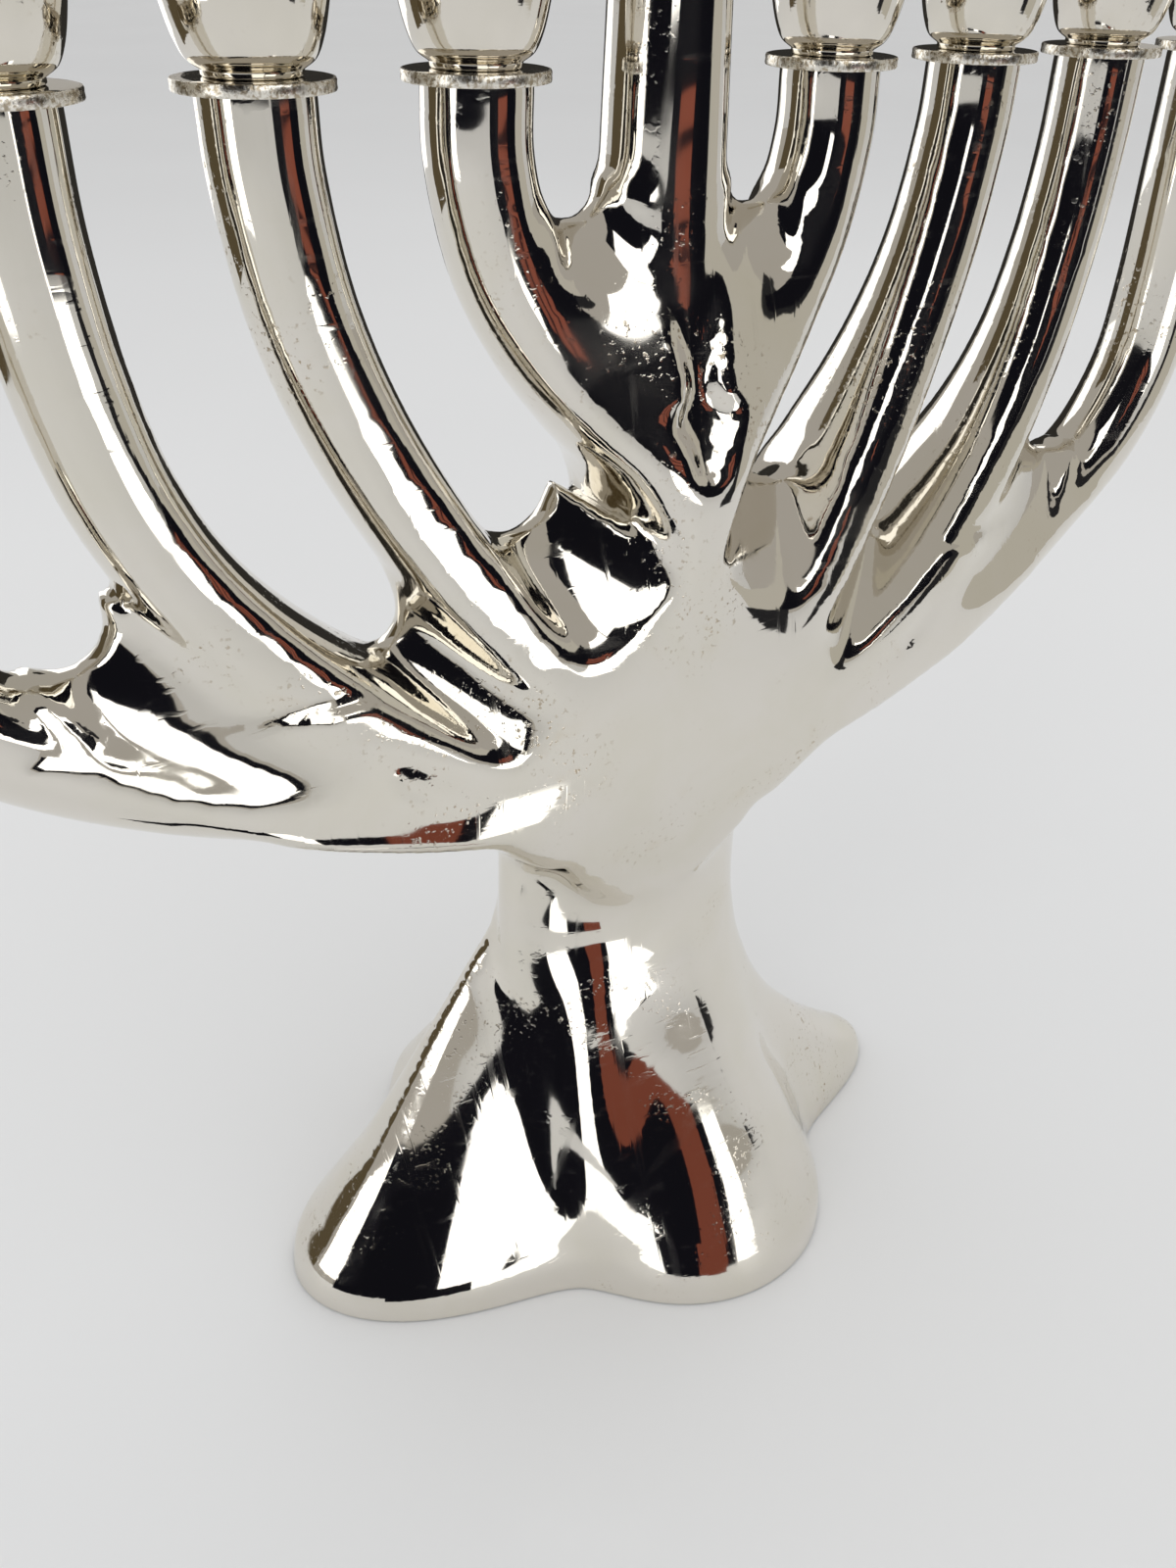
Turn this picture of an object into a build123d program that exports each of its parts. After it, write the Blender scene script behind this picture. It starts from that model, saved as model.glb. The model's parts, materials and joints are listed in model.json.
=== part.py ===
from build123d import *
import math
import os

# Driving dimensions, in millimetres. The menorah stands on Z = 0 and its row of lights lies along X.
SPACING = 35.0            # between the centres of neighbouring lights
PAN_TOP_Z = 272.0         # top face of the eight side drip pans
SHAMASH_RAISE = 30.0      # how much higher the middle light stands
PAN_RADIUS = 11.6
PAN_THICKNESS = 1.8
ARM_RADIUS = 8.8          # an arm just under its pan
OUTER_ARM_RADIUS = 10.2   # the outermost arms carry on as the main limbs
SHAFT_TIP_RADIUS = 9.6    # the middle shaft under its pan
SHAFT_FOOT_RADIUS = 12.0

# Candle cup, turned and spun to take a 22 mm taper candle
CUP_FOOT_RADIUS = 7.2
CUP_BELLY_RADIUS = 12.1
CUP_HEIGHT = 27.0
CUP_FLOOR = 2.2
SOCKET_RADIUS = 11.15
SOCKET_DEPTH = 14.0

# M5 machine screw that clamps cup and pan to the arm
SCREW_RADIUS = 2.45
TAPPED_HOLE_RADIUS = 2.5
TAPPED_HOLE_DEPTH = 11.0
THREAD_ENGAGEMENT = 8.0
HEAD_RADIUS = 4.4
HEAD_HEIGHT = 2.6
SLOT_WIDTH = 1.2
SLOT_DEPTH = 1.3
CLEARANCE_HOLE_RADIUS = 2.75

# Root-shaped base: compass direction in degrees, reach from the axis, half width in degrees,
# how early it sinks away up the trunk
ROOTS = (
    ("left", 173.0, 92.0, 31.0, 0.85),
    ("front", -58.0, 58.0, 56.0, 1.0),
    ("right", 3.0, 83.0, 17.5, 1.6),
    ("back", 118.0, 71.0, 25.0, 0.8),
)
FELT_THICKNESS = 0.6      # the felt holds the casting this far off the table
FELT_INSET = 2.0
CORE_MOUTH_RADIUS = 23.0
CORE_TOP_RADIUS = 14.0
CORE_HEIGHT = 50.0

# Trunk stations: height, half width along X, half depth along Y, share of the root reach left
TRUNK = (
    (FELT_THICKNESS, 34.5, 40.0, 1.00),
    (6.0, 34.5, 38.6, 0.975),
    (15.0, 34.0, 33.2, 0.84),
    (28.0, 33.5, 27.0, 0.64),
    (44.0, 32.5, 21.6, 0.44),
    (62.0, 32.0, 18.3, 0.26),
    (82.0, 31.5, 16.0, 0.10),
    (102.0, 31.5, 15.4, 0.00),
    (122.0, 38.0, 17.8, 0.00),
    (140.0, 44.0, 20.0, 0.00),
    (158.0, 37.0, 20.8, 0.00),
    (172.0, 27.0, 19.0, 0.00),
)

# Arms by light number: start of the bend under the pan top, bend radius, lean in degrees,
# straight run, radius of the bend back to upright
ARMS = {
    1: (12.0, 40.0, 40.0, 22.0, 30.0),
    2: (5.0, 127.0, 50.0, 2.0, 35.0),
    3: (20.0, 105.0, 60.0, 18.0, 30.0),
    4: (56.0, 48.0, 70.0, 70.0, 26.0),
}
CORNERS = (35.0, 125.0, 215.0, 305.0)   # directions where the spans of an outline meet
SPAN_STEPS = 8


def angle_between(first, second):
    """Signed difference of two compass directions, in degrees."""
    return (first - second + 180.0) % 360.0 - 180.0


def outline_radius(direction, half_width, half_depth, reach_share):
    """Distance from the axis to the skin of the trunk in one direction."""
    turn = math.radians(direction)
    oval = 1.0 / math.hypot(math.cos(turn) / half_width, math.sin(turn) / half_depth)
    radius = oval
    for _, root_direction, reach, half_angle, sink in ROOTS:
        away = angle_between(direction, root_direction) / half_angle
        radius += max(reach - oval, 0.0) * reach_share**sink * math.exp(-away * away)
    return radius


def outline_point(direction, height, half_width, half_depth, reach_share, inset):
    """Point of the trunk's skin, moved inwards by inset."""
    radius = outline_radius(direction, half_width, half_depth, reach_share) - inset
    turn = math.radians(direction)
    return Vector(radius * math.cos(turn), radius * math.sin(turn), height)


def trunk_section(height, half_width, half_depth, reach_share, inset=0.0):
    """Closed horizontal outline of the trunk at one height, in one smooth span for each quarter."""
    station = (height, half_width, half_depth, reach_share, inset)
    spans = []
    for corner in CORNERS:
        directions = [corner + 90.0 * step / SPAN_STEPS for step in range(SPAN_STEPS + 1)]
        ends = (directions[0], directions[-1])
        tangents = [outline_point(end + 1, *station) - outline_point(end - 1, *station) for end in ends]
        points = [outline_point(direction, *station) for direction in directions]
        spans.append(Edge.make_spline(points, tangents=tangents))
    return Face(Wire(spans))


def trunk_and_roots():
    """Trunk with its four roots, as one smooth loft."""
    sections = [trunk_section(*station) for station in TRUNK]
    return loft(sections)


def base_core():
    """Tapered hollow cored into the underside of the trunk, closed off by the felt."""
    return Pos(0, 0, FELT_THICKNESS) * Cone(
        CORE_MOUTH_RADIUS, CORE_TOP_RADIUS, CORE_HEIGHT, align=(Align.CENTER, Align.CENTER, Align.MIN)
    )


def light_centre(number):
    """X of a light: 0 is the middle one, negative numbers are on the left."""
    return SPACING * number


def pan_top(number):
    return PAN_TOP_Z + (SHAMASH_RAISE if number == 0 else 0.0)


def arm_path(number):
    """Centreline of the arm of a light on the +X side, from its tip down into the trunk."""
    bend_start, bend_radius, lean, run, return_radius = ARMS[number]
    x = light_centre(number)
    with BuildLine(Plane.XZ) as path:
        Line((x, PAN_TOP_Z - PAN_THICKNESS), (x, PAN_TOP_Z - bend_start))
        JernArc(path.line @ 1, path.line % 1, bend_radius, -lean)
        Line(path.line @ 1, path.line @ 1 + (path.line % 1) * run)
        JernArc(path.line @ 1, path.line % 1, return_radius, lean)
    return path.wire()


def side_arm(number):
    """One round arm on the +X side."""
    radius = OUTER_ARM_RADIUS if number == max(ARMS) else ARM_RADIUS
    tip = Pos(light_centre(number), 0, PAN_TOP_Z - PAN_THICKNESS)
    return sweep(tip * Circle(radius), path=arm_path(number))


def middle_shaft():
    """Tapered shaft of the middle light."""
    foot = 147.0
    tip = pan_top(0) - PAN_THICKNESS
    return Pos(0, 0, foot) * Cone(
        SHAFT_FOOT_RADIUS, SHAFT_TIP_RADIUS, tip - foot, align=(Align.CENTER, Align.CENTER, Align.MIN)
    )


def standing_cylinder(radius, height):
    """Cylinder on the Z axis with its lower face at Z = 0."""
    return Cylinder(radius, height, align=(Align.CENTER, Align.CENTER, Align.MIN))


def tapped_hole(number):
    """Hole for the cup screw in the tip of one arm."""
    tip = pan_top(number) - PAN_THICKNESS
    return Pos(light_centre(number), 0, tip - TAPPED_HOLE_DEPTH) * standing_cylinder(
        TAPPED_HOLE_RADIUS, TAPPED_HOLE_DEPTH + 1.0
    )


def tree_casting(lights):
    """Trunk, roots, eight arms and middle shaft: one plated casting, cored from below."""
    body = trunk_and_roots() - base_core() + middle_shaft()
    for number in ARMS:
        arm = side_arm(number)
        body = body + arm + mirror(arm, about=Plane.YZ)
    return body - [tapped_hole(number) for number in lights]


def base_felt():
    """Felt sheet glued under the casting, a little inside its outline."""
    _, half_width, half_depth, share = TRUNK[0]
    return extrude(trunk_section(0.0, half_width, half_depth, share, FELT_INSET), FELT_THICKNESS)


def drip_pan():
    """Flat round pan with its lower face at Z = 0."""
    disc = standing_cylinder(PAN_RADIUS, PAN_THICKNESS)
    disc = chamfer(disc.edges().filter_by(GeomType.CIRCLE), 0.15)
    return disc - standing_cylinder(CLEARANCE_HOLE_RADIUS, PAN_THICKNESS)


def candle_cup():
    """Egg-shaped cup with its foot at Z = 0: a round belly outside, a straight socket inside."""
    wall = CUP_BELLY_RADIUS - SOCKET_RADIUS
    socket_floor = CUP_HEIGHT - SOCKET_DEPTH
    rim_radius = CUP_BELLY_RADIUS - 0.1
    with BuildSketch(Plane.XZ) as profile:
        with BuildLine():
            outside = Spline(
                (CUP_FOOT_RADIUS, 0.0), (CUP_BELLY_RADIUS - 1.75, 4.9), (CUP_BELLY_RADIUS - 0.6, 9.5),
                (CUP_BELLY_RADIUS, socket_floor + 3.0), (rim_radius, CUP_HEIGHT - wall / 2),
            )
            rim = ThreePointArc(
                outside @ 1, (rim_radius - wall / 2 + 0.05, CUP_HEIGHT), (SOCKET_RADIUS, CUP_HEIGHT - wall / 2)
            )
            socket = Line(rim @ 1, (SOCKET_RADIUS, socket_floor))
            bowl = Spline(
                socket @ 1, (CUP_BELLY_RADIUS - 2.3, 7.2), (CUP_FOOT_RADIUS - 1.6, CUP_FLOOR),
            )
            floor = Line(bowl @ 1, (CLEARANCE_HOLE_RADIUS, CUP_FLOOR))
            hole = Line(floor @ 1, (CLEARANCE_HOLE_RADIUS, 0.0))
            Line(hole @ 1, outside @ 0)
        make_face()
    return revolve(profile.sketch, axis=Axis.Z)


def cup_screw():
    """Slotted pan-head screw with the underside of its head at Z = 0."""
    shank_length = CUP_FLOOR + PAN_THICKNESS + THREAD_ENGAGEMENT
    shank = Pos(0, 0, -shank_length) * standing_cylinder(SCREW_RADIUS, shank_length)
    shank = chamfer(shank.edges().group_by(Axis.Z)[0], 0.5)
    head = standing_cylinder(HEAD_RADIUS, HEAD_HEIGHT)
    head = fillet(head.edges().group_by(Axis.Z)[-1], 1.1)
    slot = Pos(0, 0, HEAD_HEIGHT) * Box(2.5 * HEAD_RADIUS, SLOT_WIDTH, 2 * SLOT_DEPTH)
    return shank + head - slot


def write(node, shape):
    export_step(shape, os.path.join("parts", node + ".step"))


os.makedirs("parts", exist_ok=True)
side_numbers = sorted(ARMS)
lights = [-number for number in reversed(side_numbers)] + [0] + side_numbers

write("tree_casting", tree_casting(lights))
write("base_felt", base_felt())
for position, number in enumerate(lights, start=1):
    x = light_centre(number)
    top = pan_top(number)
    write(f"drip_pan_{position}", Pos(x, 0, top - PAN_THICKNESS) * drip_pan())
    write(f"candle_cup_{position}", Pos(x, 0, top) * candle_cup())
    write(f"cup_screw_{position}", Pos(x, 0, top + CUP_FLOOR) * cup_screw())
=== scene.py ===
"""Visual model of a nickel-plated tree menorah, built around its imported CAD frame."""
import json
import math

import bmesh
import bpy
import numpy as np
from mathutils import Matrix, Vector


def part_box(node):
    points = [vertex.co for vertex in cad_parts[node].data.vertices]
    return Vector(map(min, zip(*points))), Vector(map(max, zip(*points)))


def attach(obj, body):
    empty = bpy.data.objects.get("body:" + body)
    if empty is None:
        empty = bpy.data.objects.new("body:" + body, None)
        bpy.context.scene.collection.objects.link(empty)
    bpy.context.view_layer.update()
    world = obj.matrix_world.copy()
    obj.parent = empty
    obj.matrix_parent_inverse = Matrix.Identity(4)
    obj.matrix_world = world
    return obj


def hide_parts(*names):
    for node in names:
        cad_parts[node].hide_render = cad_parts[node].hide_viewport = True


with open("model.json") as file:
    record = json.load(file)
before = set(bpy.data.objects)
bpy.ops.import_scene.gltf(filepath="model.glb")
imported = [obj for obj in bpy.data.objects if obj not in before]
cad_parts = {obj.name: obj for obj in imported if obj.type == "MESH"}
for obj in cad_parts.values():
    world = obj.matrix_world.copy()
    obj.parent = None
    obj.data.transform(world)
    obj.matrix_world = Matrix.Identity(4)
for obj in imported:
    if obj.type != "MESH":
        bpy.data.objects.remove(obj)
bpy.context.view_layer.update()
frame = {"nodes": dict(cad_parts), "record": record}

MM = 0.001
LIGHTS = range(1, 10)                    # 1 is the leftmost light, 5 the middle one
MIDDLE = 5


# ---------------------------------------------------------------- sizes from the frame, in mm
def box_mm(node):
    """Lowest and highest corner of a CAD node, in millimetres."""
    return tuple(np.array(corner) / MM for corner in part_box(node))


def light_x(number):
    low, high = box_mm(f"drip_pan_{number}")
    return (low[0] + high[0]) / 2


PAN_LOW, PAN_HIGH = box_mm("drip_pan_4")
PAN_TOP = PAN_HIGH[2]
PAN_UNDER = PAN_LOW[2]
PAN_THICKNESS = PAN_TOP - PAN_UNDER
PAN_RADIUS = (PAN_HIGH[0] - PAN_LOW[0]) / 2
SHAFT_PAN_UNDER = box_mm("drip_pan_5")[0][2]
CUP_LOW, CUP_HIGH = box_mm("candle_cup_4")
CUP_HEIGHT = CUP_HIGH[2] - CUP_LOW[2]
CUP_BELLY = (CUP_HIGH[0] - CUP_LOW[0]) / 2
SOCKETS = [m for m in frame["record"]["mounts"] if m["kind"] == "bore"]
SOCKET_RADIUS = SOCKETS[0]["dims"]["r_mm"]
SOCKET_DEPTH = 14.0
CASTING_FOOT = box_mm("tree_casting")[0][2]
HOLE_RADIUS = 2.5
HOLE_DEPTH = 11.0
CLEARANCE_RADIUS = 2.75
CUP_FLOOR = 2.2
THREAD_PITCH = 0.8

# ---------------------------------------------------------------- casting: tables, in mm
# Centrelines: x, depth under the pan tops, half width in the plane of the arms, half depth
ARMS = (
    ((140, -1.8, 8.8, 8.8), (141, -25, 9, 9), (142, -50, 9.4, 9.4), (140, -69, 9.6, 9.6),
     (130.7, -86.5, 9.8, 9.8), (115, -99, 9.9, 9.9), (94, -108.3, 10, 10), (68, -116, 10.2, 10),
     (44, -125, 9.8, 10), (26, -139, 10.5, 10)),
    ((105, -1.8, 8.6, 8.6), (105, -18, 8.6, 8.6), (103, -38, 8.7, 8.7), (98.2, -58, 8.8, 8.8),
     (88.8, -76.5, 8.9, 8.9), (73, -94.5, 9, 9), (52.5, -111, 9.4, 9), (32, -125, 10, 10),
     (18, -140, 10.5, 10)),
    ((70, -1.8, 8.6, 8.6), (69.6, -14, 8.6, 8.6), (66.3, -33, 8.7, 8.7), (59.5, -52, 8.8, 8.8),
     (49, -72, 8.9, 8.9), (36.5, -91, 9.2, 9), (21.5, -109, 9.8, 10), (10, -132, 11, 10)),
    ((35, -1.8, 8.8, 8.8), (35, -13, 8.8, 8.8), (31.5, -28, 8.8, 9.2), (24.5, -41, 8.8, 10.5),
     (15, -53, 8.8, 14), (8, -62, 8, 15), (3.5, -73, 6, 15), (1, -86, 4, 15)),
)
# Forks: centre of the round notch between two arms, its radius, how steeply its floor comes forward, and
# the strip of palm that lies in it, from the notch down to the front face: x, depth, half width
FORKS = (
    ((19.0, -16.0), 6.5, 0.42, ((17, -24, 9), (13, -38, 8), (9, -48, 6))),
    ((31.4, -67.3), 9.0, 0.77, ((28, -78, 12), (18, -88, 14), (8, -98, 14))),
    ((62.7, -85.3), 8.5, 0.60, ((57, -92, 11), (46, -104, 12), (33, -114, 12))),
    ((113.8, -75.0), 8.5, 0.28, ((109, -81, 10), (98, -93, 11), (84, -104, 11), (72, -109, 11))),
)
# Two strips that fill the middle of the palm: x, depth, half width
STEM = ((0, -72, 6), (0, -80, 8), (0, -92, 14), (0, -108, 22), (0, -124, 26), (0, -138, 25))
PALM = ((0, -120, 22), (26, -119, 15), (46, -118, 13), (64, -113, 12), (76, -110, 10))
# Half depth of the casting: that of a bare arm, and the most that the palm adds to it
TUBE_DEPTH, PALM_EXTRA = 8.8, 12.7
# Where the palm and its stem are thick: reach along x, reach along z, depth of the middle
PALM_SWELL = (100.0, 50.0, -118.0)
STEM_SWELL = (22.0, 32.0, -72.0)
# Arms and palm are made a little too deep, and their front is then cut smooth
SPARE_DEPTH, SPARE_RISE = 3.0, 3.0       # most spare depth, and how soon the palm's swell brings it
BARE_SPARE, BARE_FADE = 1.6, 12.0        # spare of the cut over a bare arm, and how soon the swell ends it
CUT_SPARE = 0.2                          # spare of the cut everywhere
ROOT_SPARE = 200.0                       # spare of the cut where the roots spread, per share of their reach
FORK_EDGE = 3.0                          # radius of the rounded edge of a fork's metal
DISH_FACING, DISH_END = 0.78, 5.0        # cosine that bounds a fork's dish, and how fast it ends beyond that
# Middle shaft: the same four columns as the arms
SHAFT = ((0, 28.2, 9.6, 9.6), (0, 5, 10.3, 10.3), (0, -18, 11, 11), (0, -35, 11, 12), (0, -48, 10.5, 14),
         (0, -62, 10, 17), (0, -75, 9, 18))
# Roots: compass direction in degrees, reach, half angle, how fast they rise to the trunk, how much they
# narrow, and how many degrees they turn on the way up
ROOTS = (
    (174, 92, 31, 0.85, 0.5, -8), (-58, 58, 56, 1.0, 0, 0), (3, 83, 17.5, 1.6, 0, 0),
    (118, 71, 25, 0.8, 0, 0), (217, 37, 26, 0.8, 0, 0),
)
# Trunk: height, centre x, centre y, half width, half depth, share of the roots' reach
TRUNK = np.array((
    (0, 0, 0, 34.5, 40, 1.00), (6, 0, 0, 34.5, 38.6, 0.975), (15, 0, 0, 34, 33.2, 0.84),
    (28, 0, 0, 33.5, 27, 0.64), (44, -1, 0.5, 32.5, 21.6, 0.44), (62, -1.5, 1.5, 32, 18.3, 0.26),
    (80, -1.5, 2.5, 31.8, 16, 0.11), (96, -1.5, 2.5, 31.8, 15, 0.02), (112, -2, 1.5, 31.3, 16, 0),
    (128, -2.5, 0.5, 29.5, 18.4, 0), (146, -2.5, 0, 25, 20, 0), (164, -1, 0, 18, 20, 0),
    (178, 0, 0, 11, 18, 0),
))
ARM_BLEND, WEB_BLEND, SHAFT_BLEND, TRUNK_BLEND, LIP_BLEND = 6.0, 5.0, 8.0, 10.0, 3.5
CORE_MOUTH, CORE_TOP, CORE_HEIGHT = 23.0, 14.0, 50.0
GRID_STEP = 1.3
GRID_PAD = 3                             # empty cells round the casting
CURVE_STEPS = 12
SMOOTH_ROUNDS, SMOOTH_IN, SMOOTH_OUT = 14, 0.5, -0.52
SHAFT_SPACE, TIP_SPACE = 18.0, 8.0       # half width round the middle shaft, and height under a pan, for cuts
TIP_REACH, TIP_LEVEL = 16.0, 0.3         # how far from a tip's axis and plane its rim lies
PLANE_SNAP = 1e-4                        # how near a cutting plane a vertex counts as on it
TINY, LEAST, EPSILON = 1e-6, 1e-3, 1e-12    # keep divisions and powers away from zero


def smooth_chain(points, steps):
    """Points of a smooth curve that passes through the rows of an array."""
    padded = np.vstack([2 * points[0] - points[1], points, 2 * points[-1] - points[-2]])
    t = np.linspace(0, 1, steps, endpoint=False)[:, None]
    chain = []
    for a, b, c, d in zip(padded, padded[1:], padded[2:], padded[3:]):
        bend, twist = 2 * a - 5 * b + 4 * c - d, 3 * b - a - 3 * c + d
        chain.append(0.5 * (2 * b + (c - a) * t + bend * t**2 + twist * t**3))
    return np.vstack(chain + [points[-1:]])


def curve_through(knots):
    """Smooth chain of points through a table's knots, lifted to the height of the pans."""
    lifted = [(x, depth + PAN_TOP, wide, deep) for x, depth, wide, deep in knots]
    return smooth_chain(np.array(lifted), CURVE_STEPS)


def nearest_on(chain, x, z):
    """In-plane distance to a chain, and its two half sizes at the nearest point."""
    best = None
    for (ax, az, aw, ad), (bx, bz, bw, bd) in zip(chain, chain[1:]):
        ux, uz = bx - ax, bz - az
        t = np.clip(((x - ax) * ux + (z - az) * uz) / (ux * ux + uz * uz), 0, 1)
        away = np.hypot(x - ax - t * ux, z - az - t * uz)
        wide, deep = aw + t * (bw - aw), ad + t * (bd - ad)
        if best is None:
            best = [away, wide, deep]
            continue
        closer = away - wide < best[0] - best[1]
        best = [np.where(closer, new, old) for new, old in zip((away, wide, deep), best)]
    return best


def oval_tube(away, wide, deep, y):
    """Distance to the skin of a tube of oval section."""
    scaled = np.sqrt((away / wide) ** 2 + (y / deep) ** 2) + TINY
    slope = np.sqrt((away / wide**2) ** 2 + (y / deep**2) ** 2) / scaled + TINY
    return (scaled - 1) / slope


def blend(first, second, width):
    """Smooth union of two distance fields."""
    overlap = np.maximum(width - np.abs(first - second), 0) / width
    return np.minimum(first, second) - overlap**3 * width / 6


def half_depth_at(x, z):
    """Half depth of the casting: round arms that grow together into one thick palm."""
    across, up, middle = PALM_SWELL
    palm = np.exp(-(np.abs(x / across) ** 4 + ((z - PAN_TOP - middle) / up) ** 2))
    across, up, middle = STEM_SWELL
    stem = np.exp(-((x / across) ** 2 + ((z - PAN_TOP - middle) / up) ** 2))
    return TUBE_DEPTH + PALM_EXTRA * (1 - (1 - palm) * (1 - stem))


def face_depths(depth):
    """How deep the arms and the palm are made, and how deep their front is then cut smooth."""
    share = (depth - TUBE_DEPTH) / PALM_EXTRA
    made = depth + SPARE_DEPTH * np.clip(SPARE_RISE * share, 0, 1)
    return made, depth + BARE_SPARE * np.exp(-BARE_FADE * share)


def palm_field(x, y, z, depth):
    """Distance to the palm: strips as thick as the casting, dished around every fork's round notch."""
    front = np.abs(y) - depth
    for (notch_x, notch_z), radius, rise, strip in FORKS:
        from_x, from_z = x - notch_x, z - PAN_TOP - notch_z
        reach = np.hypot(from_x, from_z)
        end_x, end_z = strip[-1][0] - notch_x, strip[-1][1] - notch_z
        facing = (from_x * end_x + from_z * end_z) / (reach + TINY) / math.hypot(end_x, end_z)
        away = reach - radius
        into = np.maximum(away, LEAST) * (1 + DISH_END * np.clip(DISH_FACING - facing, 0, 1))
        floor = np.sqrt((rise * into) ** 2 + 2 * FORK_EDGE * into)
        steepness = (rise**2 * into + FORK_EDGE) / floor
        dish = np.where(away > 0, (np.abs(y) - floor) / np.sqrt(1 + steepness**2), np.hypot(away, y))
        front = -blend(-front, -dish, LIP_BLEND)
    outline = None
    for strip in [STEM, PALM] + [fork[3] for fork in FORKS]:
        away, wide, _ = nearest_on(curve_through([(*knot, 0) for knot in strip]), x, z)
        outline = away - wide if outline is None else blend(outline, away - wide, WEB_BLEND)
    return -blend(-front, -outline, LIP_BLEND)


def eased(table, column, z):
    """A column of a table at heights z, eased between its rows without overshoot."""
    heights, values = table[:, 0], table[:, column]
    step, rise = np.diff(heights), np.diff(values) / np.diff(heights)
    slope = np.zeros(len(heights))
    same_way = rise[:-1] * rise[1:] > 0
    slope[1:-1] = np.where(same_way, 2 * rise[:-1] * rise[1:] / (rise[:-1] + rise[1:] + EPSILON), 0)
    slope[0], slope[-1] = rise[0], rise[-1]
    i = np.clip(np.searchsorted(heights, z) - 1, 0, len(heights) - 2)
    t = np.clip((z - heights[i]) / step[i], 0, 1)
    return ((2 * t**3 - 3 * t**2 + 1) * values[i] + (t**3 - 2 * t**2 + t) * step[i] * slope[i]
            + (3 * t**2 - 2 * t**3) * values[i + 1] + (t**3 - t**2) * step[i] * slope[i + 1])


def trunk_field(x, y, z, step):
    """Distance to the trunk and its roots."""
    centre_x, centre_y, wide, deep, share = (eased(TRUNK, column, z) for column in range(1, 6))
    x, y = x - centre_x, y - centre_y
    radius = np.hypot(x, y) + TINY
    oval = radius / np.sqrt((x / wide) ** 2 + (y / deep) ** 2)
    direction = np.degrees(np.arctan2(y, x))
    skin = oval.copy()
    share = np.maximum(share, LEAST)
    for root_direction, reach, half_angle, power, narrowing, twist in ROOTS:
        aside = (direction - root_direction - twist * (1 - share) + 180) % 360 - 180
        away = aside / (half_angle * share**narrowing)
        skin += np.maximum(reach - oval, 0) * (share**power - LEAST**power) * np.exp(-away * away)
    field = radius - skin
    steepness = np.sqrt(sum(part**2 for part in np.gradient(field, step)))
    return np.maximum(field / np.maximum(steepness, 1.0), z - TRUNK[-1, 0])


def casting_field(x, y, z, step):
    """Distance to the whole casting on a grid given by its three axes."""
    x, y, z = x[:, None, None], y[None, :, None], z[None, None, :]
    shift = np.where(z < TRUNK[-1, 0], eased(TRUNK, 1, z), 0.0)
    mirrored = np.abs(x - shift)

    depth, face = face_depths(half_depth_at(mirrored, z))

    def tube(knots, across=mirrored):
        away, wide, least = nearest_on(curve_through(knots), across, z)
        return oval_tube(away, wide, np.maximum(least, depth), y)

    field = tube(ARMS[0])
    for knots in ARMS[1:]:
        field = blend(field, tube(knots), ARM_BLEND)
    away, wide, deep = nearest_on(curve_through(SHAFT), x, z)
    field = blend(field, oval_tube(away, wide, deep, y), SHAFT_BLEND)
    field = blend(field, palm_field(mirrored, y, z, depth), WEB_BLEND)
    field = blend(field, trunk_field(x, y, z, step), TRUNK_BLEND)
    trunk_depth, share = eased(TRUNK, 4, z), eased(TRUNK, 5, z)
    above = np.where(z < TRUNK[-1, 0], trunk_depth + ROOT_SPARE * share, 0)
    cap = -blend(-face, -above, LIP_BLEND)
    field = -blend(-field, cap + CUT_SPARE - np.abs(y - eased(TRUNK, 2, z)), LIP_BLEND)
    core = np.hypot(x, y) - (CORE_MOUTH + (CORE_TOP - CORE_MOUTH) * (z - CASTING_FOOT) / CORE_HEIGHT)
    core = np.maximum(core, z - CORE_HEIGHT - CASTING_FOOT)
    return np.maximum(field, -core)


def surface_net(field, axes):
    """Vertices and quads of the zero surface of a grid field."""
    inside = field < 0
    shape = np.array(field.shape)
    cells = shape - 1
    corner = [(i, j, k) for i in (0, 1) for j in (0, 1) for k in (0, 1)]

    def part(array, offset):
        return array[tuple(slice(o, o + n) for o, n in zip(offset, cells))]

    count = sum(part(inside, c).astype(np.int8) for c in corner)
    mixed = (count > 0) & (count < 8)
    index = np.full(cells, -1, np.int64)
    index[mixed] = np.arange(mixed.sum())
    place = np.zeros((mixed.sum(), 3))
    hits = np.zeros(mixed.sum())
    for a in corner:
        for axis in range(3):
            if a[axis]:
                continue
            b = tuple(v + (n == axis) for n, v in enumerate(a))
            fa, fb = part(field, a)[mixed], part(field, b)[mixed]
            crossed = (fa < 0) != (fb < 0)
            t = np.where(crossed, fa / np.where(crossed, fa - fb, 1), 0)
            where = np.array(a) + t[:, None] * (np.arange(3) == axis)
            place += where * crossed[:, None]
            hits += crossed
    low = np.array([axis[0] for axis in axes])
    size = np.array([axis[1] - axis[0] for axis in axes])
    points = low + (np.argwhere(mixed) + place / hits[:, None]) * size
    quads = []
    for axis in range(3):
        u, v = (axis + 1) % 3, (axis + 2) % 3
        inner = [slice(1, n - 1) for n in shape]
        inner[axis] = slice(0, shape[axis] - 1)
        ahead = list(inner)
        ahead[axis] = slice(1, shape[axis])
        starts, ends = inside[tuple(inner)], inside[tuple(ahead)]
        for flip, chosen in ((False, starts & ~ends), (True, ends & ~starts)):
            at = np.argwhere(chosen) + np.array([s.start for s in inner])
            du, dv = np.eye(3, dtype=int)[u], np.eye(3, dtype=int)[v]
            quad = np.stack([index[tuple((at - o).T)] for o in (0 * du, du, du + dv, dv)], 1)
            quads.append(quad[:, ::-1] if flip else quad)
    return points, np.vstack(quads)


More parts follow.
